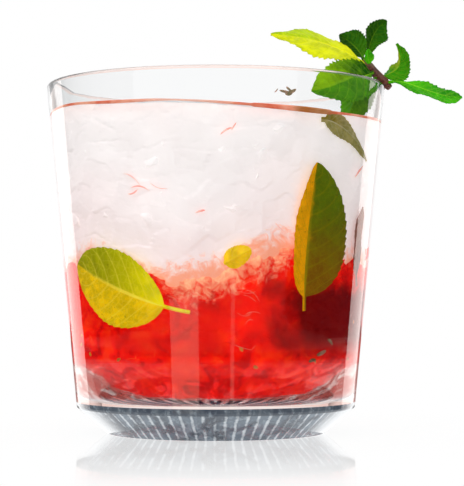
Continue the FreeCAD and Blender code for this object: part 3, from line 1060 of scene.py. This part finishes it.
def sunk_leaves():
    rows = [
        ("left", (160, 166, 0), (246, 236, 2), (240, 206, 0), (252, 236, 80), 0.4, 0.45, 0.7),
        ("right", (98, 122, 0), (146, 100, 0), (255, 180, 0), (160, 146, 6), 0.38, 0.5, 0.5),
        ("plum", (176, 128, 112), (128, 76, 74), (170, 116, 104), (190, 150, 130), 0.4, 0.0, 0.7),
        ("lemon", (244, 214, 40), (248, 214, 30), (240, 206, 20), (246, 216, 50), 0.5, 0.0, 0.7),
        ("faded", (206, 196, 140), (160, 146, 56), (190, 178, 108), (216, 210, 170), 0.2, 0.0, 0.7),
    ]
    looks = {}
    for name, tip, base, other, vein, glow, spots, mottled in rows:
        skin = leaf_look(f"sunk_mint_{name}", tip, base, other, vein, 0.35, 0.05, glow, spots, mottled)
        looks[name] = skin
    across = Vector((0, 0, 1))
    upright = Vector((1, 0, 0))
    one = [flat(-9.4, 31.5, 0.5), flat(-26, 33.2, 0.9), flat(-46, 38.5, 1.4), flat(-64, 43.5, 0.8)]
    two = [flat(36.4, 31.8, 0.5), flat(35.5, 41, 0.9), flat(37, 56, 1.2), flat(38.2, 67.8, 0.6)]
    three = [flat(70, 38, 1.0), flat(67, 45, 1.4), flat(66, 52, 1.4), flat(69, 58, 1.0)]
    four = [flat(3.5, 43.2, 1.2), flat(6, 44, 1.4), flat(10, 45.5, 1.4), flat(13.5, 46.6, 1.0)]
    five = [flat(40, 78.2, 2.0), flat(46, 78.4, 2.0), flat(54, 76.6, 1.6), flat(68, 69.5, 0.9)]
    shapes = {
        "left": (one, across, (9.2 * MM, 9.4 * MM), 0.5, 3, 0.0, 0.2, 7, 0.6, wrapped, 120, 0.04),
        "right": (two, upright, (13.4 * MM, 4.2 * MM), 0.42, 2, 0.02, 0.12, 8, 0.62, wrapped, 120, 0.06),
        "plum": (three, upright, (2.6 * MM, 2.6 * MM), 0.5, 8, 0, 0.1, 6, 0.7, wrapped),
        "lemon": (four, across, (2.6 * MM, 2.6 * MM), 0.45, 5, 0, 0.05, 5, 0.5, wrapped, 60),
        "faded": (five, across, (2.2 * MM, 2.4 * MM), 0.35, 5, 0, 0.1, 7, 0.7, wrapped, 60),
    }
    for name, facts in shapes.items():
        piece(f"sunk_leaf_{name}", leaf(*facts), looks[name])


sunk_leaves()


# ------------------------------------------------------------------------------------- meniscus reflection and fine bits
# A thin orange line where the drink climbs the glass all round is painted reflection: the fruit's red seen in
# the meniscus, glowing a little. Shreds of fruit and mint drift in the ice and cling to the wall over it.
def meniscus_reflection():
    bm = bmesh.new()
    turns, sides = 360, 8
    rings = []
    for k in range(turns):
        angle = 2 * pi * k / turns
        x, y = cos(angle), sin(angle)
        z = surface(x * bore(LEVEL), y * bore(LEVEL)) - 0.35 * MM
        swell = noise.noise(Vector((x * 2.3, y * 2.3, 0.4)))
        tall = (0.42 + 0.24 * swell) * MM
        if radians(-78) < angle - 2 * pi < radians(-48):
            tall += 0.2 * MM
        off_front = (angle - radians(258)) / radians(13)
        tall *= 1 - 0.6 * exp(-off_front * off_front)
        r = bore(z) - 0.16 * MM
        ring = []
        for j in range(sides):
            a = 2 * pi * j / sides
            height = z + tall * sin(a)
            radius = r + 0.2 * MM * cos(a)
            ring.append(bm.verts.new((x * radius, y * radius, height)))
        rings.append(ring)
    return join(bm, rings + rings[:1])


def meniscus_reflection_look():
    look = Look("orange_meniscus_reflection")
    # Painted reflection: the fruit's red seen in the meniscus, glowing a little.
    drift = look.noise(8 * MM, 3)
    colour = look.blend(look.ramp(drift, 0.35, 0.65), rgb(222, 104, 74), rgb(248, 176, 148))
    # Painted reflection: olive where a sunk leaf lies just below the line, paler at the front left.
    olive = look.ramp(look.x, 0.017, 0.021) * look.ramp(look.x, 0.03, 0.026) * look.ramp(look.y, 0, -0.01)
    colour = look.blend(olive * 0.7, colour, rgb(150, 108, 40))
    faint = look.ramp(look.x, -0.022, -0.012) * look.ramp(look.x, 0.006, -0.003) * look.ramp(look.y, 0, -0.01)
    colour = look.blend(faint * 0.75, colour, rgb(252, 208, 190))
    facts = {"Normal": look.bump(look.noise(1 * MM), 0.05 * MM), "Specular IOR Level": 0.1}
    facts |= {"Emission Color": colour, "Emission Strength": 0.4}
    return look.done(look.principled(colour, 0.25, **facts))


def shreds(rows, seed):
    """Thin curved strands at these places: azimuth, height, length, lean in degrees, thickness and depth."""
    rng = random.Random(seed)
    bm = bmesh.new()
    for azimuth, z, length, lean, thick, depth in rows:
        bend = rng.uniform(-0.35, 0.35) * length
        points = []
        for k in range(11):
            s = k / 10 - 0.5
            across = s * length * cos(radians(lean))
            up = s * length * sin(radians(lean)) + bend * (0.25 - s * s) * 2
            points.append(wall_point(azimuth + across / 0.67, (z + up) * MM, depth * MM))
        tube(bm, points, thick * MM, 8, 0.2)
    return bm


def shred_look(name, one, two, glow):
    look = Look(name)
    colour = look.blend(look.ramp(look.noise(1.6 * MM, 3), 0.35, 0.65), rgb(*one), rgb(*two))
    facts = {"Normal": look.bump(look.noise(0.5 * MM), 0.06 * MM), "Specular IOR Level": 0.05}
    facts |= {"Emission Color": colour, "Emission Strength": glow}
    return look.done(look.principled(colour, 0.4, **facts))


piece("meniscus_reflection", meniscus_reflection(), meniscus_reflection_look())
berry_rows = [
    (-30, 63.2, 6, -35, 0.13, 0.5),
    (-27, 61.0, 5, -10, 0.2, 0.5),
    (-30, 60.6, 3, 20, 0.2, 0.5),
    (-20, 62.0, 5, -20, 0.1, 0.6),
    (4, 74.5, 3.2, 30, 0.3, 0.4),
    (6.5, 75.6, 2.2, 60, 0.22, 0.4),
    (-5, 55.5, 2.4, 15, 0.3, 0.4),
    (24, 52.0, 3.4, -40, 0.16, 0.5),
    (62, 66.5, 5, 40, 0.3, 0.6),
    (140, 66, 5, 20, 0.25, 0.4),
    (-120, 58, 4, -30, 0.25, 0.4),
    (175, 70, 4, 50, 0.25, 0.4),
]
piece("berry_shreds", shreds(berry_rows, 2), shred_look("berry_shred", (255, 206, 196), (246, 164, 152), 0.4))
mint_rows = [
    (25, 85.0, 1.4, -35, 0.3, 0.4),
    (20.5, 84.4, 1.2, 50, 0.14, 0.3),
    (23.5, 84.3, 2.4, -8, 0.34, 0.4),
    (26.4, 84.6, 2.0, 22, 0.42, 0.5),
    (25.2, 84.0, 1.8, 10, 0.46, 0.5),
    (48, 21.5, 3.4, 20, 0.5, 0.6),
    (52, 24.0, 2.6, -30, 0.4, 0.5),
    (44, 19.5, 2.4, 10, 0.4, 0.6),
    (-95, 30, 3, 30, 0.4, 0.5),
    (120, 34, 3, -20, 0.4, 0.5),
]
piece("mint_shreds", shreds(mint_rows, 4), shred_look("mint_shred", (186, 138, 118), (112, 104, 58), 0.15))


# -------------------------------------------------------------------------------------------- stage and camera
# A white sweep that mirrors a little, two strip lights whose mirror images stand in the glass, a soft key, and
# cards and parts of a drum that shape what the glass mirrors.
def staged(name, bm, look, unseen=()):
    """Puts a bmesh on the stage, hidden from these kinds of ray."""
    mesh = bpy.data.meshes.new(name)
    bm.to_mesh(mesh)
    bm.free()
    mesh.materials.append(look)
    made = bpy.data.objects.new(name, mesh)
    bpy.context.scene.collection.objects.link(made)
    for kind in unseen:
        setattr(made, "visible_" + kind, False)


def card(name, centre, across, up, look, unseen):
    """A flat rectangle about a centre, from its two half sides, staged."""
    bm = bmesh.new()
    corners = [centre + across * a + up * b for a, b in ((-1, -1), (1, -1), (1, 1), (-1, 1))]
    bm.faces.new([bm.verts.new(c) for c in corners])
    staged(name, bm, look, unseen)


def floor_look():
    look = Look("white_sweep")
    away = look.node("ShaderNodeVectorMath", 1, {0: look.place}, operation="LENGTH")
    near = look.ramp(away, 0.15, 0.05)
    lit = look.node("ShaderNodeEmission", 0, {0: (1, 1, 1, 1), 1: 1.0})
    soft = look.node("ShaderNodeBsdfDiffuse", 0, {0: (1, 1, 1, 1)})
    gloss = look.node("ShaderNodeBsdfAnisotropic", 0, {0: (1, 1, 1, 1), 1: 0.04})
    contact = look.mixed(near * 0.08, lit, soft)
    return look.done(look.mixed(near * 0.38, contact, gloss))


def dark_look(name, head_on):
    """A dark card, which rays that meet it head on may pass."""
    look = Look(name)
    colour = look.blend(look.ramp(look.z, 0.0, 0.1), (0.012, 0.022, 0.036, 1), (0.03, 0.03, 0.035, 1))
    shade = look.node("ShaderNodeEmission", 0, {0: colour, 1: 1.0})
    if head_on:
        return look.done(shade)
    slant = look.ramp(look.node("ShaderNodeLayerWeight", 1, {0: 0.5}), 0.25, 0.45)
    mirrored = look.node("ShaderNodeLightPath", "Glossy Depth", {})
    slant = look.node("ShaderNodeMath", 0, {0: slant, 1: mirrored}, operation="MAXIMUM", use_clamp=True)
    return look.done(look.mixed(slant, look.node("ShaderNodeBsdfTransparent", 0, {0: (1, 1, 1, 1)}), shade))


card("sweep", Vector((0, 0.45, 0)), Vector((0.7, 0, 0)), Vector((0, 0.65, 0)), floor_look(), ["glossy"])
slanted = dark_look("slanted_card", False)
for side in (-1, 1):
    centre, across, up = Vector((0.135 * side, 0.05, 0.1)), Vector((0, 0.16, 0)), Vector((0, 0, 0.14))
    card("side_card", centre, across, up, slanted, ["camera", "diffuse", "glossy", "shadow"])
MIRROR_ONLY = ["camera", "diffuse", "transmission", "shadow"]


def drum(name, first, last, top, look):
    """Part of a drum round the glass, between two azimuths, that only reflections see."""
    bm = bmesh.new()
    columns = []
    for k in range(25):
        angle = radians(first + (last - first) * k / 24)
        columns.append([bm.verts.new((0.75 * sin(angle), -0.75 * cos(angle), z)) for z in (-0.4, top)])
    for (a, b), (c, d) in zip(columns, columns[1:]):
        bm.faces.new((a, c, d, b))
    staged(name, bm, look, MIRROR_ONLY)


def glow_look(name, colour, strength):
    look = Look(name)
    return look.done(look.node("ShaderNodeEmission", 0, {0: colour, 1: strength}))


# The flag keeps the front of the glass from veiling its contents, the glow whitens the wall at both sides, and
# the edge cards, low enough that the sweep can't mirror them, draw the outline.
glow = glow_look("side_glow", (1, 0.92, 0.89, 1), 2.3)
edge = glow_look("edge_card", (0.26, 0.14, 0.13, 1), 1.0)
drum("flag", -124, 124, 0.15, dark_look("dark_flag", True))
drum("glow_right", 124, 152, 0.15, glow)
drum("glow_left", -152, -124, 0.15, glow)
drum("edge_right", 155, 170, 0, edge)
drum("edge_left", -170, -155, 0, edge)


def bounce():
    """A white ring under the foot that only reflections see, so that the bevel shines."""
    bm = bmesh.new()
    ways = [(cos(pi * k / 32), sin(pi * k / 32)) for k in range(64)]
    join(bm, [[bm.verts.new((r * x, r * y, -0.3 * MM)) for x, y in ways] for r in (0.024, 0.052)])
    look = Look("bounce_ring")
    glow = look.blend(look.ramp(look.noise(20 * MM), 0.3, 0.7), (1, 1, 1, 1), (0.9, 0.93, 0.96, 1))
    staged("bounce", bm, look.done(look.node("ShaderNodeEmission", 0, {0: glow, 1: 1.6})), MIRROR_ONLY)


bounce()


def lamp(name, place, target, width, height, radiance):
    """A rectangular softbox that isn't seen directly."""
    data = bpy.data.lights.new(name, "AREA")
    data.shape = "RECTANGLE"
    data.size, data.size_y = width, height
    data.energy = radiance * pi * width * height
    made = bpy.data.objects.new(name, data)
    made.location = place
    made.rotation_euler = (Vector(target) - Vector(place)).to_track_quat("-Z", "Y").to_euler()
    made.visible_camera = False
    bpy.context.scene.collection.objects.link(made)
    return made


warm = (1, 0.86, 0.66)
lamp("strip_left", (-0.148, -0.356, -0.16), (-0.007, -0.036, -0.16), 0.142, 0.26, 1.5).data.color = warm
lamp("strip_right", (0.098, -0.436, -0.16), (0.004, -0.036, -0.16), 0.022, 0.26, 1.0).data.color = warm
lamp("key", (-0.45, -0.5, 0.75), (0, 0, 0.06), 0.35, 0.35, 3.0).visible_glossy = False

scene = bpy.context.scene
world = bpy.data.worlds.new("white_studio")
scene.world = world
world.use_nodes = True
world.node_tree.nodes["Background"].inputs[0].default_value = (1, 1, 1, 1)
world.node_tree.nodes["Background"].inputs[1].default_value = 1.0

camera = bpy.data.cameras.new("camera")
camera.lens = 127.7
camera.clip_start, camera.clip_end = 0.01, 10
camera_object = bpy.data.objects.new("camera", camera)
camera_object.location = (4.17 * MM, -449 * MM, 34.6 * MM)
camera_object.rotation_euler = (radians(90 + 1.86), 0, 0)
scene.collection.objects.link(camera_object)
scene.camera = camera_object
scene.view_settings.view_transform = "Standard"
scene.cycles.use_denoising = True
scene.cycles.transparent_max_bounces = 16
